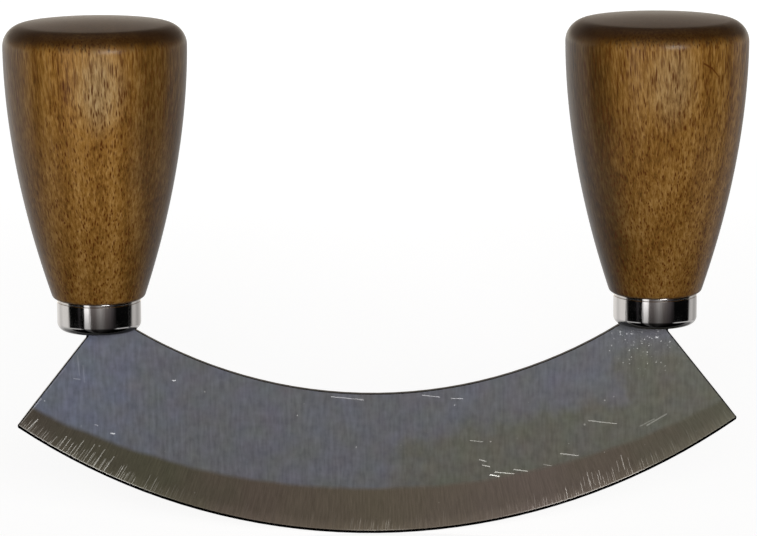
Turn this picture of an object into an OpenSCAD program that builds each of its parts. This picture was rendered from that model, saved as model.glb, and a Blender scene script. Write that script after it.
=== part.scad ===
/* [Blade] */
// Distance between the corners of the two tips, before they are rounded
blade_span = 178.6; // [160:0.1:200]
// Height of the blade at its middle, from cutting edge to spine
blade_height = 35.5; // [30:0.5:42]
// Thickness of the steel sheet
blade_t = 1.8; // [1.2:0.1:2.6]
// Radius of the rocking curve along the cutting edge
edge_r = 155.5; // [135:0.5:180]
// Rounding of the two tips
tip_r = 0.8; // [0.5:0.1:3]
// Height of the ferrule seats above the lowest point of the edge
seat_z = 52.5; // [48:0.5:58]
// Reach of the blade's inner shoulder from the handle's axis
shoulder_reach = 8.55; // [6:0.05:10]

/* [Grind] */
// Height of the ground band at the middle of the blade
grind_h = 11.8; // [7:0.1:16]
// Radius of the line where the ground band starts
grind_r = 180; // [160:1:230]
// Thickness left behind the sharpened edge
ground_t = 0.5; // [0.3:0.05:0.8]
// Angle of each side of the sharpened edge, in degrees
sharpen_angle = 18; // [12:1:25]
// Width of the cutting edge itself
edge_t = 0.1; // [0.05:0.01:0.2]

/* [Tangs] */
// Width of each tang
tang_w = 6.5; // [4:0.1:8]
// Length of each tang above the ferrule seat
tang_len = 39.5; // [25:0.5:42]
// How much thinner than the sheet a tang is on each face, to pass its slot
tang_relief = 0.05; // [0.02:0.01:0.2]
// Bevel on the corners of the tang's end
tang_bevel = 1.5; // [0.5:0.1:1.9]
// Straight neck of the tang below the ferrule
neck_h = 2; // [0.5:0.1:5]

/* [Ferrules] */
// Outer diameter of a ferrule
ferrule_d = 20.6; // [18.5:0.1:24]
// Height of a ferrule
ferrule_h = 7.9; // [6:0.1:11]
// Thickness of the ferrule's drawn sheet
ferrule_wall = 0.7; // [0.4:0.05:1]
// Outer rounding of the ferrule's bottom corner
ferrule_corner = 2; // [1.2:0.1:3]

/* [Handles] */
// Distance from a tip's corner in to the handle's axis
handle_inset = 20.85; // [18:0.05:26]
// Height of the wood above its ferrule, up to the top of the dome
handle_h = 68.6; // [60:0.1:80]
// Largest diameter of a handle, where its crown begins
handle_d = 44.8; // [38:0.1:52]
// How far the wood's foot stands out past the ferrule
foot_overhang = 0.9; // [0.5:0.05:2]
// Rounding of the foot's lower edge
foot_round = 1.4; // [0.4:0.1:1.6]
// Power of the side's swell, where 1 is a straight cone
swell = 1.86; // [1.3:0.01:2.4]
// Rounding between the side and the top
crown_r = 5.4; // [3:0.1:9]
// Radius of the domed top
dome_r = 150; // [80:1:300]

/* [Bores] */
// Least thickness of resin between a tang's corners and its bore
resin_film = 1.1; // [0.5:0.1:2]
// Depth of the bore past the end of the tang
bore_spare = 3; // [1:0.5:6]
// Full angle of the drill point at the bore's end, in degrees
drill_angle = 118; // [90:1:140]

/* [Fits] */
// Gap between a tang and the slot in its ferrule
slot_clearance = 0.1; // [0.05:0.05:0.3]
// Gap between the handle's tenon and the inside of the ferrule
tenon_clearance = 0.08; // [0.02:0.01:0.2]
// Gap between the cured resin and the wall of the bore
resin_clearance = 0.05; // [0.02:0.01:0.1]

/* [Hidden] */
$fn = 96;

steel = [0.40, 0.41, 0.43];
bright_steel = [0.72, 0.72, 0.74];
walnut = [0.45, 0.32, 0.15];
amber_resin = [0.55, 0.42, 0.22];

// Steps along the curves of the turned profiles
side_steps = 28;
crown_steps = 12;
dome_steps = 10;
corner_steps = 8;

// Blade outline: x runs along the blade and y is the height above the edge
half_span = blade_span / 2;
half_spacing = half_span - handle_inset;
edge_centre = [0, edge_r];
tip = [half_span, edge_r - sqrt(pow(edge_r, 2) - pow(half_span, 2))];
tang_in = half_spacing - tang_w / 2;
tang_out = half_spacing + tang_w / 2;
tang_t = blade_t - 2 * tang_relief;
neck_foot = [tang_out, seat_z - neck_h];

// The spine is the arc through its lowest point and the two inner shoulders
spine_x = half_spacing - shoulder_reach;
spine_rise = seat_z - blade_height;
spine_r = (pow(spine_x, 2) + pow(spine_rise, 2)) / (2 * spine_rise);

// The tip's rounding has its centre a little nearer to the end edge and to the
// cutting edge than its radius, so that its arc crosses both of them cleanly
inset = 0.97 * tip_r;
along = (neck_foot - tip) / norm(neck_foot - tip);
inward = [-along[1], along[0]];
inset_tip = tip + inset * inward - edge_centre;
run_in = inset_tip * along;
run = -run_in - sqrt(pow(run_in, 2) - inset_tip * inset_tip + pow(edge_r - inset, 2));
round_centre = edge_centre + inset_tip + run * along;
to_edge = (round_centre - edge_centre) / norm(round_centre - edge_centre);
to_tip = (tip - round_centre) / norm(tip - round_centre);

// Ferrule, tenon and bore
ferrule_r = ferrule_d / 2;
floor_z = seat_z + ferrule_wall;
foot_z = seat_z + ferrule_h;
corner_centre = [ferrule_r - ferrule_corner, seat_z + ferrule_corner];
tenon_inset = ferrule_wall + tenon_clearance;
bore_r = norm([tang_w, tang_t]) / 2 + resin_film;
bore_end_z = seat_z + tang_len + bore_spare;

// Handle profile: the crown's arc is tangent to the side and to the dome
handle_r = handle_d / 2;
foot_r = ferrule_r + foot_overhang;
crown_x = handle_r - crown_r;
dome_drop = sqrt(pow(dome_r - crown_r, 2) - pow(crown_x, 2));
crown_z = foot_z + handle_h + dome_drop - dome_r;
dome_centre = [0, crown_z - dome_drop];
crown_end = atan2(dome_drop, crown_x);

// The foot's rounding is tangent to the underside and to the swelling side
foot_lean = atan((handle_r - foot_r) * swell / (crown_z - foot_z));
foot_centre = [foot_r + foot_round * (tan(foot_lean) - 1 / cos(foot_lean)), foot_z + foot_round];
side_start = foot_z + foot_round * (1 - sin(foot_lean));

function arc(centre, r, from, to, steps) =
    [for (i = [0:steps]) let (a = from + (to - from) * i / steps)
        centre + r * [cos(a), sin(a)]];

function side_r(z) =
    handle_r - (handle_r - foot_r) * pow((crown_z - z) / (crown_z - foot_z), swell);

function side_points() =
    [for (i = [1:side_steps]) let (z = side_start + (crown_z - side_start) * i / side_steps)
        [side_r(z), z]];

module upright() {
    rotate([90, 0, 0]) children();
}

module at_left() {
    mirror([1, 0, 0]) at_right() children();
}

module at_right() {
    translate([half_spacing, 0, 0]) children();
}

function tang_points() = let (top = seat_z + tang_len)
    [neck_foot, [tang_out, top - tang_bevel], [tang_out - tang_bevel, top],
     [tang_in + tang_bevel, top], [tang_in, top - tang_bevel], [tang_in, neck_foot[1]]];

// The right half of the blade between its chord and the seats, with its tang
function half_points() =
    concat([[0, 0], [half_span, 0], tip], [for (i = [0:4]) tang_points()[i]],
           [[tang_in, seat_z], [0, seat_z]]);

function mirrored(points) =
    [for (i = [len(points) - 1:-1:0]) [-points[i][0], points[i][1]]];

// What the rounding takes off a tip
module tip_waste() {
    difference() {
        polygon([for (out = [[0, 0], -2 * inward, 3 * to_tip, 2 * to_edge])
            round_centre + tip_r * out]);
        translate(round_centre) circle(r = tip_r);
    }
}

module blade_outline() {
    difference() {
        intersection() {
            translate(edge_centre) circle(r = edge_r);
            polygon(concat(half_points(), mirrored(half_points())));
        }
        intersection() {
            translate([0, blade_height + spine_r]) circle(r = spine_r);
            translate([0, seat_z]) square([spine_x + tang_in, 2 * seat_z], center = true);
        }
        tip_waste();
        mirror([1, 0]) tip_waste();
    }
}

// A disc whose two faces slope together: as thick as the sheet at face_r, and
// thinner by slope on each side for every millimetre further out
module grinding_form(centre_z, face_r, slope, rim_t) {
    inner_r = face_r - blade_t / 2 / slope;
    rim_r = face_r + (blade_t - rim_t) / 2 / slope;
    translate([0, 0, centre_z]) upright() rotate_extrude()
        polygon([[0, -blade_t], [inner_r, -blade_t], [rim_r, -rim_t / 2],
                 [rim_r, rim_t / 2], [inner_r, blade_t], [0, blade_t]]);
}

module blade() {
    band_slope = (blade_t - ground_t) / 2 / grind_h;
    edge_slope = tan(sharpen_angle);
    color(steel) difference() {
        intersection() {
            upright() linear_extrude(blade_t, center = true) blade_outline();
            grinding_form(grind_h + grind_r, grind_r, band_slope, ground_t / 2);
            grinding_form(edge_r, edge_r - (blade_t - edge_t) / 2 / edge_slope, edge_slope,
                          edge_t / 2);
        }
        for (y = [tang_t / 2, -tang_t / 2 - blade_t])
            translate([-half_span, y, seat_z]) cube([blade_span, blade_t, 2 * tang_len]);
    }
}

// The bore for a tang, or what fills it when it is smaller by a gap all round
module bore_form(start_z, gap) {
    r = bore_r - gap;
    end_z = bore_end_z - gap;
    rotate_extrude()
        polygon([[0, start_z], [r, start_z], [r, end_z],
                 [0, end_z + r / tan(drill_angle / 2)]]);
}

module handle() {
    tenon_end = floor_z + tenon_clearance;
    color(walnut) difference() {
        rotate_extrude()
            polygon(concat(
                [[0, tenon_end]],
                arc(corner_centre, ferrule_corner - tenon_inset, -90, 0, corner_steps),
                [[ferrule_r - tenon_inset, foot_z]],
                arc(foot_centre, foot_round, -90, -foot_lean, corner_steps),
                side_points(),
                arc([crown_x, crown_z], crown_r, 0, crown_end, crown_steps),
                arc(dome_centre, dome_r, crown_end, 90, dome_steps)));
        bore_form(seat_z, 0);
    }
}

module ferrule() {
    color(bright_steel) difference() {
        rotate_extrude()
            polygon(concat(
                [[0, seat_z]],
                arc(corner_centre, ferrule_corner, -90, 0, corner_steps),
                [[ferrule_r, foot_z], [ferrule_r - ferrule_wall, foot_z]],
                arc(corner_centre, ferrule_corner - ferrule_wall, 0, -90, corner_steps),
                [[0, floor_z]]));
        translate([0, 0, seat_z])
            cube([tang_w + 2 * slot_clearance, tang_t + 2 * slot_clearance, 4 * ferrule_wall],
                 center = true);
    }
}

module tang_resin() {
    color(amber_resin) difference() {
        bore_form(floor_z, resin_clearance);
        translate([-half_spacing, 0, 0]) upright() linear_extrude(tang_t, center = true)
            polygon(tang_points());
    }
}

blade();
at_left() handle();  // left_handle
at_right() handle();  // right_handle
at_left() ferrule();  // left_ferrule
at_right() ferrule();  // right_ferrule
at_left() tang_resin();  // left_tang_resin
at_right() tang_resin();  // right_tang_resin
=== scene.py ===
"""Looks of a two-handled rocking knife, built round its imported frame.

The blade is a ground and brushed steel sheet, the knobs are turned and lacquered walnut, and
polished steel collars close the joints between them. Lengths are in millimetres until they
reach Blender, where one unit is a metre.
"""

from __future__ import annotations

import logging
import math
from dataclasses import dataclass
from enum import Enum
from typing import Sequence

import bpy
from mathutils import Matrix, Vector

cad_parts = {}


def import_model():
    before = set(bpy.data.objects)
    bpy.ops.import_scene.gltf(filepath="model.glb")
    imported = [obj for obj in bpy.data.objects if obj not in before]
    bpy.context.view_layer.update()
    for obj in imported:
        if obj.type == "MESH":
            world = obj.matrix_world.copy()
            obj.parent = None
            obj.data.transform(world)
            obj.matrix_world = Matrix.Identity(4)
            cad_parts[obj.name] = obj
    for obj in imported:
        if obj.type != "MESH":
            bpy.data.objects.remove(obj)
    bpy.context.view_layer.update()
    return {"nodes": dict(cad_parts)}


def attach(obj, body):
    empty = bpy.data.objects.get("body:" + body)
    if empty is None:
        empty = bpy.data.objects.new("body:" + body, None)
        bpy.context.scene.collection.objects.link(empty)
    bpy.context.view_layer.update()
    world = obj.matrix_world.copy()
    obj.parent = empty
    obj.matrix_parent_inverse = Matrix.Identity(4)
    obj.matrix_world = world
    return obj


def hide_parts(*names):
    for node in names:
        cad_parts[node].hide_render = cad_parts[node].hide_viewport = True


MM = 0.001
BODY = "root"
log = logging.getLogger("rocking_knife")

Colour = tuple[float, float, float, float]
Point = tuple[float, float]
Place = tuple[float, float, float]
Stops = Sequence[tuple[float, Colour | float]]

# Sizes that more than one piece shares: the knobs' axes, and where their collars sit
AXIS_X = 68.45
SEAT_Z = 52.5
COLLAR_H = 7.9
LATHE_STEPS = 144
LATHE_WELD = 0.001
# A facet of the blade faces front or back where more than this share of its normal does
FACING = 0.9


class Side(Enum):
    """Which end of the blade a knob and its collar stand on, by the sign of X."""

    LEFT = -1
    RIGHT = 1

    @property
    def word(self) -> str:
        """The side's name as the nodes spell it."""
        return self.name.lower()


def linear(code: str) -> Colour:
    """Turns six sRGB hex digits into the linear colour that Blender's sockets take."""
    shares = [int(code[i : i + 2], 16) / 255 for i in (0, 2, 4)]
    red, green, blue = (
        s / 12.92 if s <= 0.04045 else ((s + 0.055) / 1.055) ** 2.4 for s in shares
    )
    return (red, green, blue, 1.0)


def grey(level: float) -> Colour:
    """A linear grey."""
    return (level, level, level, 1.0)


def direction(azimuth: float, elevation: float) -> Vector:
    """The unit vector at an angle to the right of the front and one above level, in degrees."""
    turn, tilt = math.radians(azimuth), math.radians(elevation)
    level = math.cos(tilt)
    return Vector((math.sin(turn) * level, -math.cos(turn) * level, math.sin(tilt)))


def add_node(
    tree: bpy.types.NodeTree,
    kind: str,
    inputs: dict[int | str, object] | None = None,
    out: int | str = 0,
    **settings: object,
) -> Wire | None:
    """Adds a node with its settings, values and links.

    Args:
        tree: The node tree that takes the node.
        kind: The node's type name, without the ShaderNode in front.
        inputs: What each input gets, by its index or name: a wire to link, or a value.
        out: Which output to return, if the node has any.
        settings: Properties of the node itself.
    """
    node = tree.nodes.new("ShaderNode" + kind)
    for name, value in settings.items():
        setattr(node, name, value)
    for key, value in (inputs or {}).items():
        if isinstance(value, Wire):
            tree.links.new(value.socket, node.inputs[key])
        else:
            node.inputs[key].default_value = value
    return Wire(node.outputs[out]) if len(node.outputs) else None


@dataclass(frozen=True)
class Wire:
    """One output of a node, whose sums and calls add further nodes to the same tree.

    An operator works on numbers where the output carries one, and otherwise on vectors. What
    it or a call takes as an object is another wire or a plain value.
    """

    socket: bpy.types.NodeSocket

    @property
    def is_number(self) -> bool:
        """Whether the output carries a single number, not a vector or a colour."""
        return self.socket.type == "VALUE"

    def add(self, kind: str, inputs: dict | None = None, out: int | str = 0, **settings) -> Wire:
        """Adds a node to this wire's tree, as add_node does."""
        return add_node(self.socket.id_data, kind, inputs, out, **settings)

    def work(self, operation: str, *others: object) -> Wire:
        """Works out a number from this number and others, or a vector from this vector."""
        kind = "Math" if self.is_number else "VectorMath"
        return self.add(kind, dict(enumerate((self, *others))), operation=operation)

    def measure(self, operation: str, *others: object) -> Wire:
        """Works out a number from this vector and others."""
        inputs = dict(enumerate((self, *others)))
        return self.add("VectorMath", inputs, out="Value", operation=operation)

    def __add__(self, other: object) -> Wire:
        """The sum."""
        return self.work("ADD", other)

    def __sub__(self, other: object) -> Wire:
        """The difference."""
        return self.work("SUBTRACT", other)

    def __rsub__(self, other: float) -> Wire:
        """A plain number less this one."""
        return self.add("Math", {0: other, 1: self}, operation="SUBTRACT")

    def __mul__(self, other: object) -> Wire:
        """The product, part by part if both are vectors."""
        wired = isinstance(other, Wire)
        by_number = other.is_number if wired else isinstance(other, (int, float))
        if by_number and not self.is_number:
            return self.add("VectorMath", {0: self, 3: other}, operation="SCALE")
        return self.work("MULTIPLY", other)

    def __pow__(self, power: float) -> Wire:
        """This number to a power."""
        return self.work("POWER", power)

    def __abs__(self) -> Wire:
        """The absolute value, of each part if this is a vector."""
        return self.work("ABSOLUTE")

    def times_plus(self, factor: object, offset: object) -> Wire:
        """This times a factor, plus an offset."""
        return self.work("MULTIPLY_ADD", factor, offset)

    def along(self, vector: object) -> Wire:
        """A vector or colour times this number."""
        return self.add("VectorMath", {0: vector, 3: self}, operation="SCALE")

    def unit(self) -> Wire:
        """This vector with a length of 1."""
        return self.work("NORMALIZE")

    def distance(self, point: object) -> Wire:
        """How far this place lies from a point."""
        return self.measure("DISTANCE", point)

    def above(self, limit: object) -> Wire:
        """1 where this number is greater than a limit, and otherwise 0."""
        return self.work("GREATER_THAN", limit)

    def outputs(self, kind: str, inputs: dict) -> list[Wire]:
        """Adds a node to this wire's tree and returns all its outputs."""
        return [Wire(socket) for socket in self.add(kind, inputs).socket.node.outputs]

    def parts(self) -> list[Wire]:
        """This vector's X, Y and Z."""
        return self.outputs("SeparateXYZ", {0: self})

    def dice(self) -> list[Wire]:
        """This random colour as three random numbers."""
        return self.outputs("SeparateColor", {0: self})

    def remap(
        self, start: object, end: object, low: float = 0, high: float = 1, smooth: bool = False
    ) -> Wire:
        """Maps start..end, which may fall, to low..high, held beyond both and eased if smooth."""
        inputs = dict(enumerate((self, start, end, low, high)))
        easing = "SMOOTHSTEP" if smooth else "LINEAR"
        return self.add("MapRange", inputs, interpolation_type=easing)

    def ramp(self, stops: Stops, span: Point | None = None) -> Wire:
        """Turns this number into a colour.

        Args:
            stops: Each stop's number, in rising order, and its colour or its grey.
            span: The least and greatest number, if they aren't 0 and 1.
        """
        low, high = span or (0.0, 1.0)
        share = self.remap(low, high) if span else self
        colours = share.add("ValToRGB", {0: share})
        elements = colours.socket.node.color_ramp.elements
        while len(elements) > 1:
            elements.remove(elements[-1])
        for index, (at, shade) in enumerate(stops):
            place = (at - low) / (high - low)
            element = elements.new(place) if index else elements[0]
            element.position = place
            element.color = shade if isinstance(shade, tuple) else grey(shade)
        return colours

    def mix(self, under: object, over: object) -> Wire:
        """One colour where this share is 0, and another where it is 1."""
        return self.add("Mix", {0: self, 6: under, 7: over}, out=2, data_type="RGBA")

    def noise(
        self, scale: float, detail: float, roughness: float = 0.5, out: int | str = 0
    ) -> Wire:
        """Cloudy noise by place, as one number or with out="Color" as three."""
        inputs = {"Vector": self, "Scale": scale, "Detail": detail, "Roughness": roughness}
        return self.add("TexNoise", inputs, out=out)

    def cells(self, scale: float) -> list[Wire]:
        """Scattered points by place: the distance to the nearest, and its random colour."""
        return self.outputs("TexVoronoi", {"Vector": self, "Scale": scale})[:2]

    def stretch(self, *scale: float) -> Wire:
        """This place scaled along X, Y and Z, where less than 1 draws a pattern out."""
        return self.add("Mapping", {"Vector": self, "Scale": scale})

    def bump(self, strength: float, depth: float) -> Wire:
        """The normal over a relief whose height is this number, and whose depth is in mm."""
        return self.add("Bump", {"Strength": strength, "Distance": depth * MM, "Height": self})


def strongest(masks: Sequence[Wire]) -> Wire:
    """The highest of several numbers."""
    top = masks[0]
    for mask in masks[1:]:
        top = top.work("MAXIMUM", mask)
    return top


def new_material(name: str) -> bpy.types.Material:
    """Makes an empty node material."""
    material = bpy.data.materials.new(name)
    material.use_nodes = True
    material.node_tree.nodes.clear()
    return material


def millimetres(material: bpy.types.Material, origin: Place = (0, 0, 0)) -> Wire:
    """The place on the object in millimetres, measured from a point of its frame."""
    place = add_node(material.node_tree, "TexCoord", out="Object")
    shift = [-part for part in origin]
    return place.add("Mapping", {"Vector": place, "Location": shift, "Scale": [1 / MM] * 3})


def close_with(material: bpy.types.Material, kind: str, inputs: dict) -> bpy.types.Material:
    """Ends a material with its shader and returns it."""
    shader = add_node(material.node_tree, kind, inputs)
    shader.add("OutputMaterial", {"Surface": shader})
    return material


def deselect_all() -> None:
    """Leaves edit mode and deselects every object."""
    if bpy.context.object and bpy.context.object.mode != "OBJECT":
        bpy.ops.object.mode_set(mode="OBJECT")
    bpy.ops.object.select_all(action="DESELECT")


def activate(piece: bpy.types.Object) -> None:
    """Makes one object the only selected and the active one."""
    deselect_all()
    piece.select_set(True)
    bpy.context.view_layer.objects.active = piece


def smooth_up_to(piece: bpy.types.Object, degrees: float) -> None:
    """Shades a piece smooth, but for edges where its faces meet at more than an angle."""
    activate(piece)
    bpy.ops.object.shade_smooth_by_angle(angle=math.radians(degrees))


def turn_on_lathe(name: str, profile: Sequence[Point], axis_x: float) -> bpy.types.Object:
    """Draws a profile point by point and spins it round an upright axis.

    Args:
        name: The new object's name.
        profile: Radius and height of each point, in millimetres.
        axis_x: Where the axis stands along X, in millimetres.

    Returns:
        The turned piece, with its origin at the frame's.
    """
    deselect_all()
    points = [Vector((axis_x + r, 0, z)) * MM for r, z in profile]
    bpy.ops.mesh.primitive_plane_add(size=MM, location=points[0])
    piece = bpy.context.object
    piece.name = name
    bpy.ops.object.mode_set(mode="EDIT")
    bpy.ops.mesh.merge(type="CENTER")
    bpy.ops.mesh.select_mode(type="VERT")
    bpy.ops.mesh.select_all(action="SELECT")
    for before, after in zip(points, points[1:]):
        bpy.ops.mesh.extrude_vertices_move(TRANSFORM_OT_translate={"value": after - before})
    bpy.ops.mesh.select_all(action="SELECT")
    centre = (axis_x * MM, 0, 0)
    bpy.ops.mesh.spin(steps=LATHE_STEPS, angle=2 * math.pi, center=centre, axis=(0, 0, 1))
    bpy.ops.mesh.select_all(action="SELECT")
    bpy.ops.mesh.remove_doubles(threshold=LATHE_WELD * MM)
    bpy.ops.mesh.normals_make_consistent(inside=False)
    bpy.ops.object.mode_set(mode="OBJECT")
    bpy.ops.object.transform_apply(location=True, rotation=True, scale=True)
    return piece


def arc(centre: Point, radius: float, start: float, end: float, steps: int) -> list[Point]:
    """Points along an arc of a profile, with angles in degrees from the outward direction."""
    angles = [math.radians(start + (end - start) * i / steps) for i in range(steps + 1)]
    return [(centre[0] + radius * math.cos(a), centre[1] + radius * math.sin(a)) for a in angles]


@dataclass(frozen=True)
class Stroke:
    """One straight mark on a surface, between two points in millimetres."""

    start: Place
    end: Place
    width: float
    strength: float

    def mask(self, place: Wire) -> Wire:
        """How strongly the mark shows, up to its strength along its soft-edged middle."""
        run = Vector(self.end) - Vector(self.start)
        rel = place - self.start
        share = rel.measure("DOT_PRODUCT", run / run.length_squared)
        foot = share.add("Clamp", {0: share}).along(run)
        return rel.distance(foot).remap(self.width * 0.65, self.width * 0.3) * self.strength


def strokes(*rows: tuple[float, ...]) -> tuple[Stroke, ...]:
    """Marks on the blade, from rows of X, Z, X and Z of both ends, a width and a strength."""
    return tuple(Stroke((a, 0, b), (c, 0, d), *rest) for a, b, c, d, *rest in rows)


# Board scratches on the flat of the blade
FLAT_SCRATCHES = strokes(
    (-11.6, 35.0, -3.7, 34.1, 0.2, 0.5), (10.9, 35.1, 15.1, 34.6, 0.2, 0.5),
    (18.0, 34.2, 20.8, 34.1, 0.2, 0.5), (22.7, 23.5, 25.9, 23.1, 0.2, 0.4),
    (25.1, 18.6, 26.7, 18.1, 0.25, 0.5), (25.8, 17.2, 27.6, 16.8, 0.28, 0.5),
    (27.7, 14.7, 29.9, 14.3, 0.3, 0.8), (29.0, 15.4, 33.6, 14.9, 0.25, 0.6),
    (33.6, 16.0, 37.0, 15.5, 0.25, 0.5), (41.0, 17.2, 42.9, 16.8, 0.22, 0.35),
    (45.2, 19.9, 49.6, 19.3, 0.3, 0.45), (52.1, 28.2, 59.0, 27.3, 0.25, 0.4),
    (64.9, 26.6, 68.4, 28.4, 0.3, 0.2), (66.6, 26.8, 71.4, 29.6, 0.35, 0.25),
    (-88.0, 29.2, -83.0, 35.4, 0.22, 0.4), (-81.8, 36.9, -77.0, 42.9, 0.18, 0.18),
    (-66.0, 26.4, -65.2, 26.3, 0.4, 0.6), (-69.9, 28.6, -69.2, 28.4, 0.3, 0.35),
    (-50.6, 39.5, -50.0, 39.5, 0.35, 0.6), (-73.9, 46.0, -73.5, 41.2, 0.35, 0.14),
    (-72.6, 43.6, -72.3, 39.4, 0.35, 0.12), (-74.9, 40.3, -73.4, 40.1, 0.3, 0.25),
    (68.6, 51.2, 69.0, 51.2, 0.45, 0.55), (68.7, 49.0, 69.1, 49.0, 0.45, 0.5),
    (62.4, 50.0, 62.9, 49.9, 0.35, 0.35),
)

# The stone's longest strokes, with the arc length along the edge as X and the depth as Z
EDGE_STROKES = strokes(
    (-92.5, 0.8, -91.7, 4.6, 0.26, 0.7), (-85.8, 0.8, -85.3, 3.4, 0.2, 0.5),
    (-83.6, 0.8, -83.2, 4.6, 0.24, 0.6), (-79.5, 0.8, -78.9, 5.7, 0.22, 0.55),
    (-78.0, 0.8, -77.5, 3.8, 0.2, 0.45), (-76.6, 0.8, -75.9, 6.2, 0.22, 0.5),
    (-75.2, 0.8, -74.8, 4.4, 0.2, 0.4), (-73.9, 0.8, -73.0, 6.2, 0.22, 0.5),
    (-72.3, 0.8, -71.9, 4.0, 0.2, 0.4), (-70.8, 0.8, -70.1, 5.4, 0.22, 0.5),
    (-67.7, 0.8, -67.3, 4.1, 0.2, 0.4), (-65.4, 0.8, -64.7, 3.5, 0.2, 0.35),
    (53.2, 2.4, 53.6, 5.0, 0.2, 0.35), (54.5, 2.1, 54.9, 5.7, 0.24, 0.5),
    (55.6, 2.4, 56.0, 5.2, 0.2, 0.4), (57.6, 2.7, 57.9, 5.1, 0.2, 0.45),
    (62.6, 2.8, 63.1, 5.6, 0.2, 0.35), (64.1, 2.8, 64.7, 6.5, 0.24, 0.5),
    (65.6, 2.6, 66.1, 5.2, 0.2, 0.35),
)


@dataclass(frozen=True)
class BrushedBladeSteel:
    """Rolled stainless steel, brushed from spine to edge, then ground across its lower band.

    The brushing leaves a satin grey with fine upright streaks, cool at the left and olive at
    the lower right. The ground band is coarser and darker, and the stone has left bright
    strokes that run in from the edge. Two spaces carry the marks: flat, which is the place
    without its Y, and polar, with the arc length along the edge as X and the depth as Z.
    """

    blade: Blade
    cool: str = "abb2c6"
    neutral: str = "a6a9b1"
    olive: str = "a2a297"
    ground: tuple[tuple[float, str], ...] = (
        (-92, "91887a"), (-60, "97947c"), (-32, "a9998a"), (0, "b4a892"),
        (40, "bdada1"), (66, "aea290"), (92, "a9a893"),
    )
    ground_drift: float = 24.0
    stroke_shares: tuple[Point, ...] = (
        (-97, 0.5), (-86, 0.7), (-64, 0.7), (-50, 0.1), (-10, 0.1), (-5, 0.4), (4, 0.4),
        (9, 0.12), (28, 0.18), (44, 0.62), (67, 0.66), (74, 0.2),
    )
    reach: float = 100.0
    strokes_per_mm: float = 1.7
    stroke_lean: float = -0.12
    nicked: Place = (66, 0, 51)
    bare: Colour = (1, 1, 0.96, 1)
    bare_share: float = 0.75
    # Painted shade: the honed bevel near black, for the dark it mirrors, and dark lines along the
    # ends and the spine
    honed: str = "1c1c1d"
    rim: str = "141415"
    streak_mm: float = 0.8
    grit_mm: float = 0.45
    edge_shade_mm: float = 0.3
    spine_shade_mm: float = 0.14
    roughness: float = 0.4
    burr: Place = (0.15, 0.0, 0.24)
    # Where the flat turns cool, then olive, and where the olive of the right end starts
    cool_x: Point = (-34.0, -62.0)
    olive_x: Point = (8.0, 28.0)
    end_x: Point = (70.0, 78.0)
    end_z: Point = (50.0, 44.0)
    # Lengths of the short strokes, sizes of the specks, and how far their crowd reaches
    stroke_mm: Point = (1.4, 5.2)
    speck_size: Point = (0.22, 0.55)
    crowd_mm: Point = (2.0, 13.0)

    def build(self) -> bpy.types.Material:
        """Makes the material."""
        material = new_material("brushed_and_ground_stainless_steel")
        flat = millimetres(material) * (1, 0, 1)
        polar = self._polar(flat)
        in_band = self._band_mask(flat)
        streaks = flat.stretch(1 / self.streak_mm, 1, 0.22).noise(1.0, 1.5)
        scratches = [scratch.mask(flat) for scratch in FLAT_SCRATCHES]
        bright = strongest([*scratches, self._strokes(polar), self._specks(flat)])

        colour = in_band.mix(self._flat_colour(flat, streaks), self._band_colour(polar))
        colour = (bright * self.bare_share).mix(colour, self.bare)
        normal = streaks.bump(0.1, 0.02) + self._trueing(flat, polar, in_band)
        inputs = {
            "Base Color": self._painted_edge_shade(flat, polar, colour),
            "Metallic": 1.0,
            "Roughness": streaks.remap(0, 1, self.roughness - 0.06, self.roughness + 0.06),
            "Normal": (normal + bright.along(self.burr)).unit(),
        }
        return close_with(material, "BsdfPrincipled", inputs)

    def _polar(self, flat: Wire) -> Wire:
        """The arc length along the cutting edge as X, and the depth from the edge as Z."""
        radius = self.blade.edge_r
        x, _, z = flat.parts()
        along = x.work("ARCTAN2", radius - z) * radius
        depth = radius - flat.distance((0, 0, radius))
        return flat.add("CombineXYZ", {0: along, 2: depth})

    def _band_mask(self, flat: Wire) -> Wire:
        """Where the stone has ground, with a soft and slightly uneven limit."""
        start = self.blade.grind_r
        away = flat.distance(self.blade.grind_centre)
        return flat.noise(0.1, 1.0).times_plus(1.2, away).remap(start, start + 1.7, smooth=True)

    def _trueing(self, flat: Wire, polar: Wire, in_band: Wire) -> Wire:
        """What turns the normal of a mesh facet into that of the sheet or of the ground cone."""
        own = flat.add("NewGeometry", out="Normal")
        facing, depth = own.parts()[1], polar.parts()[2]
        chosen = abs(facing).above(FACING) * depth.above(self.blade.bevel_w)
        outward = (flat - self.blade.grind_centre).unit()
        side = flat.add("CombineXYZ", {1: facing.work("SIGN")})
        true = outward * (in_band * self.blade.band_slope) + side
        return (true.unit() - own) * chosen

    def _strokes(self, polar: Wire) -> Wire:
        """The stone's strokes: the longest ones one by one, short ones, and a bright lip."""
        along, _, depth = polar.parts()
        share = along.ramp(self.stroke_shares, (-self.reach, self.reach))

        # One short stroke to each step along the edge, of a random place, length and strength
        steps = depth.times_plus(self.stroke_lean, along) * self.strokes_per_mm
        cell = steps.work("FLOOR")
        chance = cell.add("TexWhiteNoise", {"W": cell}, out="Color", noise_dimensions="1D")
        red, green, blue = chance.dice()
        line = abs(steps - cell - red.remap(0, 1, 0.25, 0.75)).remap(0.22, 0.08)
        gate = (green.remap(0, 1, *self.stroke_mm) - depth).remap(0.0, 0.9)
        short_ones = line * gate * (blue * share)

        lip = depth.remap(self.blade.bevel_w + 0.34, self.blade.bevel_w + 0.12) * share
        long_ones = [stroke.mask(polar) for stroke in EDGE_STROKES]
        return strongest([*long_ones, short_ones, lip])

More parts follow.
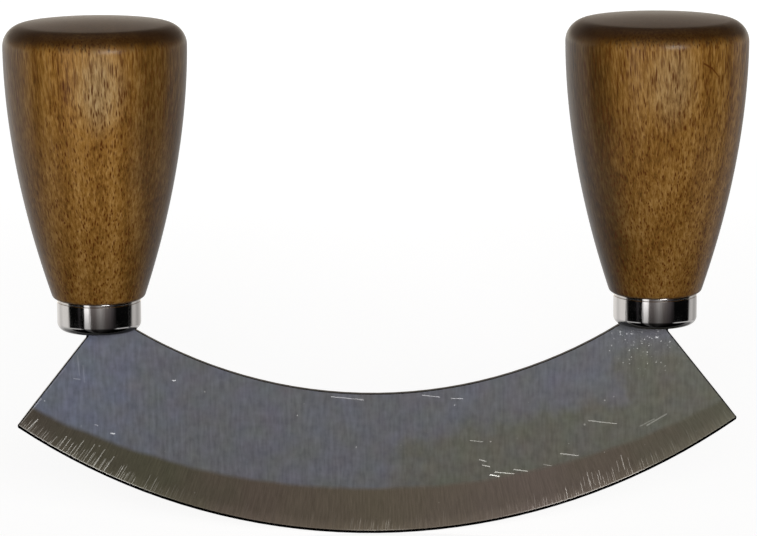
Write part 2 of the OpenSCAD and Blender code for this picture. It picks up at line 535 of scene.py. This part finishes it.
    def _specks(self, flat: Wire) -> Wire:
        """Stray bright nicks, which crowd near the right neck."""
        away, colour = flat.cells(1.8)
        red, green, blue = colour.dice()
        size = blue.remap(0, 1, *self.speck_size)
        bar = flat.distance(self.nicked).remap(*self.crowd_mm, 0.3, 0.994)
        power = (green**2.0).times_plus(0.45, 0.08)
        return away.remap(size, size * 0.35) * red.above(bar) * power

    def _flat_colour(self, flat: Wire, streaks: Wire) -> Wire:
        """Cool grey at the left, neutral in the middle and olive grey at the lower right."""
        x, _, z = flat.parts()
        patches = flat.noise(0.09, 3.0, 0.55)
        drift = patches.times_plus(26.0, x)
        cool = drift.remap(*self.cool_x, smooth=True)
        right = drift.remap(*self.olive_x, smooth=True)
        end = drift.remap(*self.end_x, smooth=True) * z.remap(*self.end_z)
        low = patches.times_plus(12.0, x.times_plus(0.19, 22.0) - z).remap(3.0, 9.0, smooth=True)
        tone = cool.mix(linear(self.neutral), linear(self.cool))
        tone = strongest([low * right, end]).mix(tone, linear(self.olive))

        hues = flat.noise(0.16, 1.0, out="Color") - (0.5, 0.5, 0.5)
        hues = hues.times_plus((0.14, 0.12, 0.3), (1, 1, 1))
        gain = (streaks + flat.noise(0.5, 2.0)).remap(0.7, 1.3, 0.86, 1.14)
        return tone * hues * gain

    def _band_colour(self, polar: Wire) -> Wire:
        """Dark ground steel, whose tint drifts along the edge and pales towards it."""
        along, _, depth = polar.parts()
        drift = polar.noise(0.12, 2.0).times_plus(self.ground_drift, along)
        middle = self.ground_drift / 2
        stops = [(at + middle, linear(code)) for at, code in self.ground]
        tone = drift.ramp(stops, (middle - self.reach, middle + self.reach))
        grit = polar.stretch(1 / self.grit_mm, 1, 0.2).noise(1.0, 3.0, 0.65)
        return tone * (grit.remap(0.3, 0.75, 0.84, 1.2) * depth.remap(3.6, 1.0, 1.0, 1.25))

    def _painted_edge_shade(self, flat: Wire, polar: Wire, colour: Wire) -> Wire:
        """Painted shade: a dark line along both ends and the spine, and the honed bevel near
        black, for the dark it mirrors.
        """
        tip, neck, radius = self.blade.tip, self.blade.neck, self.blade.spine_r
        run = Vector((neck[0] - tip[0], neck[1] - tip[1])).normalized()
        rel = abs(flat) - (tip[0], 0, tip[1])
        in_end = abs(rel.measure("DOT_PRODUCT", (-run.y, 0, run.x)))
        near = radius + self.spine_shade_mm
        over_spine = flat.distance((0, 0, self.blade.height + radius))
        edge_shades = [
            in_end.remap(self.edge_shade_mm, self.edge_shade_mm * 0.6),
            over_spine.remap(near + 0.04, near - 0.04),
        ]
        # Painted shade: dark lines along both ends and the spine
        colour = strongest(edge_shades).mix(colour, linear(self.rim))
        # Painted shade: the honed bevel near black, for the dark it mirrors
        width = self.blade.bevel_w
        honed = polar.parts()[2].remap(width + 0.03, width - 0.03)
        return honed.mix(colour, linear(self.honed))


@dataclass(frozen=True)
class Timber:
    """What tells one knob's wood from the other's.

    The heart_and_shade is how light the wood is from left to right: partly the timber's own
    darker heart and partly painted shade on the knob's sides, darkest on the inner one. busy_x
    is between where its pores stand out. The pores lie a pitch apart across and along the grain,
    and grow longer above long_z.
    """

    ring_turn: float
    busy_x: Point
    # How much lighter the wood is painted at the crown than at the foot: painted light from above
    rise: float
    # How light the wood is across the knob: its darker heart and painted shade on its sides
    heart_and_shade: tuple[Point, ...]
    heart_and_shade_slant: float
    pore_pitch: Point
    long_z: float
    # How strongly the painted sheen shows on this knob
    sheen_strength: float
    marks: tuple[Stroke, ...]


TIMBERS = {
    Side.LEFT: Timber(
        ring_turn=0.6,
        busy_x=(-11.0, 8.0),
        rise=1.25,
        heart_and_shade=(
            (-22, 0.56), (-18, 0.5), (-15, 0.66), (-10, 0.87), (-5, 0.98), (5, 1.0),
            (8, 0.78), (12, 0.5), (22, 0.4),
        ),
        heart_and_shade_slant=0.0,
        pore_pitch=(0.55, 2.4),
        long_z=100.0,
        sheen_strength=1.0,
        marks=(
            Stroke((3.4, -20.5, 117.9), (7.1, -20.5, 117.9), 0.3, 0.5),
            Stroke((-5.6, -18.0, 79.0), (-5.0, -13.0, 63.0), 0.5, 0.5),
        ),
    ),
    Side.RIGHT: Timber(
        ring_turn=2.4,
        busy_x=(-12.0, 30.0),
        rise=1.05,
        heart_and_shade=(
            (-22, 0.36), (-17.5, 0.38), (-15, 0.62), (-13, 0.82), (-10, 0.9), (-4, 0.96),
            (22, 1.0),
        ),
        heart_and_shade_slant=0.12,
        pore_pitch=(0.5, 2.0),
        long_z=88.0,
        sheen_strength=0.55,
        marks=(
            Stroke((9.2, -20.2, 119.5), (11.2, -19.2, 118.2), 0.6, 0.85),
            Stroke((11.2, -19.2, 118.2), (12.9, -17.9, 116.1), 0.5, 0.8),
        ),
    ),
}


@dataclass(frozen=True)
class LacqueredWalnut:
    """Walnut turned with its grain nearly upright, under a thin satin lacquer.

    The pores are long and thin, so the turned wall cuts them into dashes: short ones at the
    foot, where the wall leans, and longer ones below the crown, where it runs along the grain.
    """

    side: Side
    axis_x: float
    crown_z: float
    light: str = "a98249"
    mid: str = "865e27"
    dark: str = "53330c"
    pore: str = "4e2200"
    # Colour of a painted sheen: a pale patch that stands in for a soft highlight below the crown
    painted_sheen: str = "b09a72"
    # The end grain's own dark tone, which also serves as painted shade on the crown's shoulder
    end_grain_and_shade: str = "2e1a09"
    pore_share: float = 0.43
    ring_mm: float = 6.5
    pith: Place = (95, 60, 0)
    # Middle of the painted sheen
    sheen_centre: Place = (1.5, -22.0, 115.0)
    lean: Point = (0.06, 0.035)
    seed: float = 100.0
    heart_and_shade_reach: float = 25.0
    heart_and_shade_drift: float = 6.0
    # Above the crown's start, where the darkening begins and is full, and how dark it gets: the
    # end grain's own dark tone together with painted shade on the crown's shoulder
    end_grain_and_shade_up: Point = (3.0, 5.8)
    end_grain_and_shade_share: float = 0.88
    # Where the painted light up the wall starts, and how dark the foot is left
    foot_z: float = 64.0
    foot_shade: float = 0.78
    tick_z: Point = (84.0, 106.0)

    @property
    def timber(self) -> Timber:
        """This knob's own wood."""
        return TIMBERS[self.side]

    def build(self) -> bpy.types.Material:
        """Makes the material."""
        material = new_material(f"lacquered_walnut_{self.side.word}")
        place = millimetres(material, (self.axis_x, 0, 0))
        across, _, height = place.parts()
        turned = (*self.lean, self.timber.ring_turn)
        shift = (0, 0, self.seed * self.side.value)
        billet = place.add("Mapping", {"Vector": place, "Location": shift, "Rotation": turned})

        # Fibres are upright streaks, under a millimetre wide and centimetres long
        fibres = billet.stretch(1.7, 1.7, 0.24).noise(1.0, 3.0, 0.7)
        tone = fibres.times_plus(0.8, self._figure(billet))
        stops = ((0.33, self.dark), (0.53, self.mid), (0.73, self.light))
        wood = tone.ramp([(at, linear(code)) for at, code in stops])
        # Painted light: the wood grows lighter from the foot up to the crown
        level = (self.foot_shade, self.timber.rise)
        lit_towards_crown = height.remap(self.foot_z, self.crown_z, *level)
        # Painted shade on the knob's sides, darkest on the inner one, mixed with the timber's own
        # darker heart
        wood *= lit_towards_crown * self._heart_and_shade(billet, across, height)
        # Painted sheen: a pale patch at the front below the crown
        wood = self._painted_sheen_mask(place, fibres).mix(wood, linear(self.painted_sheen))

        pores = self._pores(self._drawn_out(billet, height)) * self._busy(billet, across)
        marks = [mark.mask(place) for mark in self.timber.marks]
        dark = strongest([pores, self._ticks(billet, height), *marks])
        # Darker above the crown: the end grain's own tone, with painted shade on its rounded
        # shoulder
        low, high = (self.crown_z + up for up in self.end_grain_and_shade_up)
        ragged = fibres.times_plus(5.0, height)
        shaded_end_grain = ragged.remap(low, high, 0.0, self.end_grain_and_shade_share, smooth=True)
        colour = shaded_end_grain.mix(dark.mix(wood, linear(self.pore)), linear(self.end_grain_and_shade))
        inputs = {
            "Base Color": colour,
            "Roughness": 0.4,
            "Specular IOR Level": 0.12,
            "Coat Weight": 0.36,
            "Coat Roughness": 0.25,
            "Normal": (fibres * 0.5 - dark).bump(0.3, 0.04),
        }
        return close_with(material, "BsdfPrincipled", inputs)

    def _figure(self, billet: Wire) -> Wire:
        """Growth layers as broad upright bands, from a pith that lies outside the knob."""
        stretched = billet.stretch(1, 1, 0.12)
        bent = stretched.noise(0.07, 3.0).times_plus(10.0, stretched.distance(self.pith))
        turns = bent * (2 * math.pi / self.ring_mm)
        return turns.work("SINE").remap(-1.0, 1.0, 0.09, 0.18)

    def _heart_and_shade(self, billet: Wire, across: Wire, height: Wire) -> Wire:
        """How light the wood is across the knob, with a wandering, slanted limit: the timber's own
        darker heart together with painted shade on its sides.
        """
        slant = self.timber.heart_and_shade_slant
        slanted = height.times_plus(slant, across)
        drift = billet.noise(0.09, 2.0).times_plus(self.heart_and_shade_drift, slanted)
        middle = slant * self.crown_z + self.heart_and_shade_drift / 2
        stops = [(at + middle, level) for at, level in self.timber.heart_and_shade]
        return drift.ramp(stops, (middle - self.heart_and_shade_reach, middle + self.heart_and_shade_reach))

    def _painted_sheen_mask(self, place: Wire, fibres: Wire) -> Wire:
        """Where a painted sheen lightens the wood, below the crown at the front, broken up by the
        fibres.
        """
        rel = (place - self.sheen_centre) * (0.14, 0.06, 0.08)
        zone = rel.measure("LENGTH").remap(1.15, 0.25, smooth=True) * self.timber.sheen_strength
        return zone * fibres.remap(0.35, 0.65, 0.2, 0.65)

    def _busy(self, billet: Wire, across: Wire) -> Wire:
        """How much the pores stand out: most in an upright zone with wandering sides."""
        drift = billet.noise(0.13, 2.0).times_plus(10.0, across)
        low, high = (edge + 5.0 for edge in self.timber.busy_x)
        inside = drift.remap(low - 3.0, low + 2.0) * drift.remap(high + 3.0, high - 2.0)
        return inside.remap(0, 1, 0.55, 1.0)

    def _drawn_out(self, billet: Wire, height: Wire) -> Wire:
        """Stretches the grain more and more towards the crown, where the wall runs along it."""
        above = height.remap(self.timber.long_z, self.crown_z)
        shift = height.add("CombineXYZ", {"Z": above * above})
        return shift.times_plus((0, 0, -0.38 * (self.crown_z - self.timber.long_z)), billet)

    def _pores(self, grain: Wire) -> Wire:
        """Open vessels, each a short upright dash where the turned wall cuts it."""
        bent = grain.noise(0.4, 1.0, out="Color").times_plus((0.8, 0.8, 0), grain)
        across, along = (1 / pitch for pitch in self.timber.pore_pitch)
        away, colour = bent.stretch(across, across, along).cells(1.0)
        chance = colour.dice()[0]
        width = chance.remap(0, 1, 0.7, 1.15) * self.pore_share
        return away.remap(width, width * 0.45) * chance.remap(0, 1, 0.7, 1.0)

    def _ticks(self, billet: Wire, height: Wire) -> Wire:
        """Thin dark upright lines that show in the upper half."""
        lines = billet.stretch(1.7, 1.7, 0.13).noise(1.0, 2.0).remap(0.56, 0.68)
        return lines * height.remap(*self.tick_z, 0.1, 0.65)


@dataclass(frozen=True)
class PolishedCollarSteel:
    """Drawn stainless sheet, polished to a mirror over the faint upright lines of the draw.

    The wall pulls in a little towards the floor, so what it mirrors darkens from top to bottom.
    """

    colour: str = "d8d5d3"
    roughness: float = 0.06
    pull_high_z: float = 59.4
    pull_low_z: float = 54.6
    pull: float = 0.05

    def build(self) -> bpy.types.Material:
        """Makes the material."""
        material = new_material("polished_drawn_stainless_steel")
        place = millimetres(material)
        lines = place.stretch(1.6, 1.6, 0.12).noise(1.0, 3.0).bump(0.25, 0.06)
        smears = place.noise(0.25, 3.0)
        tilt = place.parts()[2].remap(self.pull_high_z, self.pull_low_z, 0.0, self.pull)
        inputs = {
            "Base Color": linear(self.colour),
            "Metallic": 1.0,
            "Roughness": smears.remap(0.3, 0.7, self.roughness, self.roughness + 0.07),
            "Normal": (lines + tilt.along((0, 0, -1))).unit(),
        }
        return close_with(material, "BsdfPrincipled", inputs)


@dataclass(frozen=True)
class CuredResin:
    """Amber epoxy that has set round the tang, with small trapped bubbles."""

    colour: str = "b48a44"

    def build(self) -> bpy.types.Material:
        """Makes the material."""
        material = new_material("cured_amber_epoxy")
        place = millimetres(material)
        gain = place.noise(0.4, 3.0).remap(0.3, 0.7, 0.8, 1.15)
        bubbles = place.cells(0.9)[0]
        inputs = {
            "Base Color": gain.along(linear(self.colour)[:3]),
            "Roughness": 0.3,
            "Normal": bubbles.remap(0.1, 0.2).bump(0.4, 0.1),
        }
        return close_with(material, "BsdfPrincipled", inputs)


@dataclass
class Blade:
    """The crescent blade, with its rocking edge, hollow spine and two tangs."""

    span: float = 178.6
    height: float = 35.5
    edge_r: float = 155.5
    grind_h: float = 11.8
    grind_r: float = 180.0
    spine_x: float = 59.9
    neck: Point = (71.7, 50.5)
    thickness: float = 1.8
    ground_t: float = 0.5
    bevel_w: float = 0.7
    edge_break: float = 0.1
    # Between which depths the mesh's own bevel ends, and above which the edges are square
    bevel_reach: Point = (0.6, 2.2)
    square_depth: float = 1.5
    weld: float = 0.002
    seat_gap: float = 0.05
    # Faces that meet at less than the first angle are one plane, at less than the second they
    # are shaded smooth, and at more than the third there is a stamped edge between them
    flat_angle: float = 0.05
    smooth_angle: float = 12.0
    square_angle: float = 60.0

    @property
    def spine_r(self) -> float:
        """Radius of the arc through the spine's lowest point and the two inner shoulders."""
        rise = SEAT_Z - self.height
        return (self.spine_x**2 + rise**2) / (2 * rise)

    @property
    def tip(self) -> Point:
        """The corner where an end meets the cutting edge."""
        half = self.span / 2
        return (half, self.edge_r - math.sqrt(self.edge_r**2 - half**2))

    @property
    def grind_centre(self) -> Place:
        """Where the axis of the ground cone crosses the blade's middle plane."""
        return (0, 0, self.grind_h + self.grind_r)

    @property
    def band_slope(self) -> float:
        """How much each ground face leans in, for every millimetre out from the cone's axis."""
        return (self.thickness - self.ground_t) / 2 / self.grind_h

    def build(self, node: bpy.types.Object) -> bpy.types.Object:
        """Copies the frame's sheet, welds it, breaks its stamped edges and dresses it."""
        deselect_all()
        piece = node.copy()
        piece.data = node.data.copy()
        piece.name = "ground_blade"
        piece.parent = None
        for key in list(piece.keys()):
            del piece[key]
        bpy.context.scene.collection.objects.link(piece)
        activate(piece)
        bpy.ops.object.mode_set(mode="EDIT")
        bpy.ops.mesh.select_all(action="SELECT")
        bpy.ops.mesh.remove_doubles(threshold=self.weld * MM)
        bpy.ops.mesh.dissolve_limited(angle_limit=math.radians(self.flat_angle))
        bpy.ops.mesh.select_all(action="DESELECT")
        bpy.ops.object.mode_set(mode="OBJECT")
        self._even_bevel(piece.data)
        self._select_stamped_edges(piece.data)
        bpy.ops.object.mode_set(mode="EDIT")
        bpy.ops.mesh.select_mode(type="EDGE")
        bpy.ops.mesh.bevel(offset=self.edge_break * MM, segments=2, affect="EDGES")
        bpy.ops.object.mode_set(mode="OBJECT")
        piece.data.materials.clear()
        piece.data.materials.append(BrushedBladeSteel(self).build())
        smooth_up_to(piece, self.smooth_angle)
        self._flatten_faces(piece.data)
        return piece

    def _depth(self, point: Vector) -> float:
        """How far a point of the mesh lies from the cutting edge, in millimetres."""
        return self.edge_r - math.hypot(point.x / MM, point.z / MM - self.edge_r)

    def _even_bevel(self, mesh: bpy.types.Mesh) -> None:
        """Brings the honed bevel to one width, by sliding its upper line along the ground band."""
        low, high = self.bevel_reach
        for vertex in mesh.vertices:
            depth = self._depth(vertex.co)
            x, y, z = vertex.co / MM
            if not (low < depth < high and abs(y) > self.edge_break):
                continue
            share = (self.edge_r - self.bevel_w) / (self.edge_r - depth)
            x, z = x * share, self.edge_r + (z - self.edge_r) * share
            run = math.hypot(x, z - self.grind_centre[2]) - self.grind_r
            y = math.copysign(self.thickness / 2 - run * self.band_slope, y)
            vertex.co = Vector((x, y, z)) * MM

    def _select_stamped_edges(self, mesh: bpy.types.Mesh) -> None:
        """Selects the square edges of the spine and ends, and leaves the ground edge sharp."""
        faces_of: dict[tuple[int, int], list[Vector]] = {}
        for polygon in mesh.polygons:
            for key in polygon.edge_keys:
                faces_of.setdefault(key, []).append(polygon.normal)
        least = math.radians(self.square_angle)
        for edge in mesh.edges:
            normals = faces_of.get(tuple(sorted(edge.vertices)), [])
            first, last = (mesh.vertices[index].co for index in edge.vertices)
            middle = (first + last) / 2
            square = len(normals) == 2 and normals[0].angle(normals[1]) > least
            below_seat = middle.z / MM < SEAT_Z - self.seat_gap
            edge.select = square and self._depth(middle) > self.square_depth and below_seat

    def _flatten_faces(self, mesh: bpy.types.Mesh) -> None:
        """Takes the smoothing off all that faces front or back, so each ground plane is true."""
        for polygon in mesh.polygons:
            if abs(polygon.normal.y) > FACING:
                polygon.use_smooth = False


@dataclass
class Knob:
    """One turned walnut knob, from its tenon to its domed crown."""

    side: Side
    foot_z: float = SEAT_Z + COLLAR_H
    height: float = 68.6
    widest_r: float = 22.4
    foot_r: float = 11.2
    foot_round: float = 1.4
    swell: float = 1.86
    crown_r: float = 5.4
    dome_r: float = 150.0
    tenon_r: float = 9.52
    tenon_end_z: float = 53.28
    tenon_round: float = 1.22
    bore_r: float = 4.459
    bore_end_z: float = 95.0
    drill_angle: float = 118.0
    side_steps: int = 40
    smooth_angle: float = 35.0

    def _crown(self) -> Place:
        """The crown's inset and height, and how far the dome's centre lies below it."""
        inset = self.widest_r - self.crown_r
        drop = math.sqrt((self.dome_r - self.crown_r) ** 2 - inset**2)
        return inset, self.foot_z + self.height + drop - self.dome_r, drop

    def profile(self) -> list[Point]:
        """Radius and height from the top of the bore, down the tenon and up to the dome."""
        inset, crown_z, drop = self._crown()
        dome_angle = math.degrees(math.atan2(drop, inset))
        rise = crown_z - self.foot_z
        growth = self.widest_r - self.foot_r
        lean = math.atan(growth * self.swell / rise)
        slope = math.tan(lean) - 1 / math.cos(lean)
        foot = (self.foot_r + self.foot_round * slope, self.foot_z + self.foot_round)
        start = self.foot_z + self.foot_round * (1 - math.sin(lean))
        point_h = self.bore_r / math.tan(math.radians(self.drill_angle / 2))
        tenon = (self.tenon_r - self.tenon_round, self.tenon_end_z + self.tenon_round)

        points = [(0.0, self.bore_end_z + point_h), (self.bore_r, self.bore_end_z)]
        points += [(self.bore_r, self.tenon_end_z)]
        points += arc(tenon, self.tenon_round, -90, 0, steps=6)
        points += [(self.tenon_r, self.foot_z)]
        points += arc(foot, self.foot_round, -90, -math.degrees(lean), steps=10)
        for i in range(1, self.side_steps + 1):
            z = start + (crown_z - start) * i / self.side_steps
            share = ((crown_z - z) / rise) ** self.swell
            points.append((self.widest_r - growth * share, z))
        points += arc((inset, crown_z), self.crown_r, 0, dome_angle, steps=20)[1:]
        points += arc((0.0, crown_z - drop), self.dome_r, dome_angle, 90, steps=12)[1:]
        return points

    def build(self) -> bpy.types.Object:
        """Turns the knob and dresses it."""
        axis_x = self.side.value * AXIS_X
        piece = turn_on_lathe(f"{self.side.word}_knob", self.profile(), axis_x)
        wood = LacqueredWalnut(self.side, axis_x, self._crown()[1])
        piece.data.materials.append(wood.build())
        smooth_up_to(piece, self.smooth_angle)
        return piece


@dataclass
class Collar:
    """One drawn steel collar, a cup with a slot in its floor for the tang."""

    side: Side
    outer_r: float = 10.3
    wall: float = 0.7
    corner: float = 2.0
    lip_h: float = 0.5
    lip_round: float = 0.22
    # The groove below the lip: how deep each of its points is, and how far above the lip's foot
    groove: tuple[Point, ...] = ((0.0, -0.3), (0.1, -0.15), (0.1, 0.0), (0.0, 0.1))
    slot: Point = (6.7, 1.9)
    smooth_angle: float = 30.0

    def profile(self) -> list[Point]:
        """Radius and height from the middle of the floor out, up and back inside."""
        top = SEAT_Z + COLLAR_H
        lip_low = top - self.lip_h
        centre = (self.outer_r - self.corner, SEAT_Z + self.corner)
        rim = (self.outer_r - self.lip_round, top - self.lip_round)
        points = [(0.0, SEAT_Z)]
        points += arc(centre, self.corner, -90, 0, steps=20)
        points += [(self.outer_r - deep, lip_low + up) for deep, up in self.groove]
        points += arc(rim, self.lip_round, 0, 90, steps=6)
        points += [(self.outer_r - self.wall, top)]
        points += arc(centre, self.corner - self.wall, 0, -90, steps=10)
        points += [(0.0, SEAT_Z + self.wall)]
        return points

    def build(self, steel: bpy.types.Material) -> bpy.types.Object:
        """Spins the collar, cuts its slot and dresses it in the polished steel."""
        axis_x = self.side.value * AXIS_X
        piece = turn_on_lathe(f"{self.side.word}_collar", self.profile(), axis_x)
        piece.data.materials.append(steel)
        self._cut_slot(piece, axis_x)
        smooth_up_to(piece, self.smooth_angle)
        return piece

    def _cut_slot(self, piece: bpy.types.Object, axis_x: float) -> None:
        """Punches the tang's slot through the floor."""
        deselect_all()
        bpy.ops.mesh.primitive_cube_add(size=MM, location=(axis_x * MM, 0, SEAT_Z * MM))
        punch = bpy.context.object
        punch.scale = (*self.slot, 4 * self.wall)
        cut = piece.modifiers.new("slot", "BOOLEAN")
        cut.operation = "DIFFERENCE"
        cut.object = punch
        activate(piece)
        bpy.ops.object.modifier_apply(modifier=cut.name)
        bpy.data.objects.remove(punch)


@dataclass
class Studio:
    """The floor, the room's light and the camera.

    The room is white behind the tool and dim towards the camera, with dark flats at both sides
    and one tall narrow light at the left, which the collars mirror as stripes.
    """

    target: Place = (0.23, 0.0, 66.98)
    distance: float = 1000.0
    azimuth: float = -2.08
    elevation: float = 10.34
    roll: float = -0.232
    focal_px: float = 4070.0
    picture_px: float = 757.0
    sensor: float = 36.0
    clip: Point = (10.0, 20000.0)
    room_gain: float = 1.6
    # The floor's paint and glow where a ray sees it, and its paint where light bounces off
    floor_size: float = 3000.0
    paint: float = 0.3
    glow: float = 0.84
    bounce: float = 0.4

    def build(self) -> None:
        """Sets up everything round the object."""
        self._camera()
        self._floor()
        self._room()
        self._lamps()
        bpy.context.scene.view_settings.view_transform = "Standard"

    def _camera(self) -> None:
        """Places the camera that took the photograph."""
        back = direction(self.azimuth, self.elevation)
        lean = math.radians(self.roll)
        right = (-back).cross(Vector((0, 0, 1))).normalized()
        up = right.cross(-back)
        leaned = right * math.cos(lean) + up * math.sin(lean)
        upright = up * math.cos(lean) - right * math.sin(lean)
        data = bpy.data.cameras.new("camera")
        data.sensor_width = self.sensor
        data.lens = self.focal_px * self.sensor / self.picture_px
        data.clip_start, data.clip_end = (reach * MM for reach in self.clip)
        camera = bpy.data.objects.new("camera", data)
        bpy.context.scene.collection.objects.link(camera)
        place = Matrix((leaned, upright, back)).transposed().to_4x4()
        place.translation = (Vector(self.target) + back * self.distance) * MM
        camera.matrix_world = place
        bpy.context.scene.camera = camera

    def _floor(self) -> None:
        """Lays the pale floor under the cutting edge."""
        deselect_all()
        bpy.ops.mesh.primitive_plane_add(size=self.floor_size * MM)
        floor = bpy.context.object
        floor.name = "floor"
        floor.visible_glossy = False
        material = new_material("white_floor")
        paint = add_node(material.node_tree, "BsdfDiffuse", {"Color": grey(self.paint)})
        glow = paint.add("Emission", {"Strength": self.glow})
        lit = paint.add("AddShader", {0: paint, 1: glow})
        bounce = paint.add("BsdfDiffuse", {"Color": grey(self.bounce)})
        rays = ("Is Camera Ray", "Is Glossy Ray", "Is Transmission Ray")
        seen = strongest([paint.add("LightPath", out=ray) for ray in rays])
        close_with(material, "MixShader", {0: seen, 1: bounce, 2: lit})
        floor.data.materials.append(material)

    def _room(self) -> None:
        """Paints the room's brightness by direction, with stops in degrees from the front."""
        world = bpy.data.worlds.new("room")
        bpy.context.scene.world = world
        world.use_nodes = True
        world.node_tree.nodes.clear()
        x, y, z = add_node(world.node_tree, "TexCoord", out="Generated").parts()
        turn, tilt = x.work("ARCTAN2", y * -1.0), z.work("ARCSINE")

        def around(stops: Stops) -> Wire:
            """A colour by azimuth."""
            return turn.ramp([(math.radians(a), s) for a, s in stops], (-math.pi, math.pi))

        def up(stops: Stops) -> Wire:
            """A colour by elevation."""
            half = math.pi / 2
            return tilt.ramp([(math.radians(a), s) for a, s in stops], (-half, half))

        # What a mirror that faces the camera shows: dark flats, lights and the table's glow
        black, dim, dusk = 0.002, (0.11, 0.098, 0.095, 1), (0.06, 0.053, 0.055, 1)
        glow, slate = (0.27, 0.26, 0.255, 1), (0.03, 0.028, 0.03, 1)
        flats = (
            (-93, black), (-60, black), (-54, slate), (-50, black), (-40.5, black),
            (-38.5, 1.0), (-25.5, 1.0), (-23, dim), (-10, dim), (5, glow), (20, dim),
            (34, dusk), (50, black), (93, black),
        )
        heights = (
            (-90, 0.02), (-35, 0.04), (-22, 0.2), (-16, 0.5), (-10, 0.97), (10, 1.0),
            (25, 0.5), (45, 0.12), (90, 0.16),
        )
        table = up(((-33, 0.0), (-28, 0.34), (-23, 0.42), (-20, 0.0)))
        table *= around(((-54, 1.0), (-46, 0.0), (46, 0.0), (54, 1.0)))
        ahead = around(flats).times_plus(up(heights), table)

        # What one that faces away from the camera shows: a white room with a warm horizon
        levels = (
            (-90, 0.02), (-48, 0.05), (-30, 0.25), (-16, (0.55, 0.54, 0.53, 1)),
            (-6, (0.57, 0.56, 0.54, 1)), (0, (1.0, 0.95, 0.85, 1)),
            (4, (0.84, 0.76, 0.64, 1)), (8, (0.38, 0.32, 0.27, 1)),
            (14, (0.31, 0.26, 0.22, 1)), (22, (0.24, 0.2, 0.16, 1)), (36, 0.04), (90, 0.16),
        )
        rear = (
            (-180, 1.0), (-145, 1.0), (-130, 0.75), (-116, 0.95), (-94, 0.95), (-88, 0.0),
            (100, 0.0), (107, 0.62), (118, 0.66), (130, 0.45), (145, 0.55), (180, 1.0),
        )
        light = around(rear).mix(ahead, up(levels)) * self.room_gain
        lit = light.add("Background", {"Color": light})
        white = light.add("Background", {"Strength": 1.0, "Color": grey(1.0)})
        seen = light.add("LightPath", out="Is Camera Ray")
        mixed = light.add("MixShader", {0: seen, 1: lit, 2: white})
        mixed.add("OutputWorld", {"Surface": mixed})

    def _lamps(self) -> None:
        """Hangs the key light at the right, a fill beside the camera and one behind the tool."""
        self._lamp("key", direction(19, 17), away=3000, size=(1000, 700), watts=20)
        self._lamp("fill", direction(-3, 12), away=1100, size=(300, 300), watts=6.4)
        self._lamp("back", direction(178, 25), away=1500, size=(500, 400), watts=8)
        bpy.data.objects["key"].visible_glossy = True

    def _lamp(self, name: str, way: Vector, away: float, size: Point, watts: float) -> None:
        """Adds an area lamp that faces the object's middle from afar and shows in no gloss."""
        data = bpy.data.lights.new(name, "AREA")
        data.energy = watts
        data.shape = "RECTANGLE"
        data.size, data.size_y = size[0] * MM, size[1] * MM
        lamp = bpy.data.objects.new(name, data)
        bpy.context.scene.collection.objects.link(lamp)
        lamp.location = (Vector(self.target) + way * away) * MM
        lamp.rotation_euler = way.to_track_quat("Z", "Y").to_euler()
        lamp.visible_camera = False
        lamp.visible_glossy = False


def main() -> None:
    """Builds the studio, the blade, the knobs and the collars, in that order."""
    logging.basicConfig(level=logging.INFO, format="%(message)s")
    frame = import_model()
    Studio().build()

    blade = Blade().build(frame["nodes"]["blade"])
    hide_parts("blade")
    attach(blade, BODY)
    log.info("%s: %d faces", blade.name, len(blade.data.polygons))

    polished = PolishedCollarSteel().build()
    resin = CuredResin().build()
    for side in Side:
        knob = Knob(side).build()
        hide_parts(f"{side.word}_handle")
        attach(knob, BODY)
        collar = Collar(side).build(polished)
        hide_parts(f"{side.word}_ferrule")
        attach(collar, BODY)
        filling = frame["nodes"][f"{side.word}_tang_resin"]
        filling.data.materials.clear()
        filling.data.materials.append(resin)
        for piece in (knob, collar, filling):
            log.info("%s: %d faces", piece.name, len(piece.data.polygons))


if __name__ == "__main__":
    main()
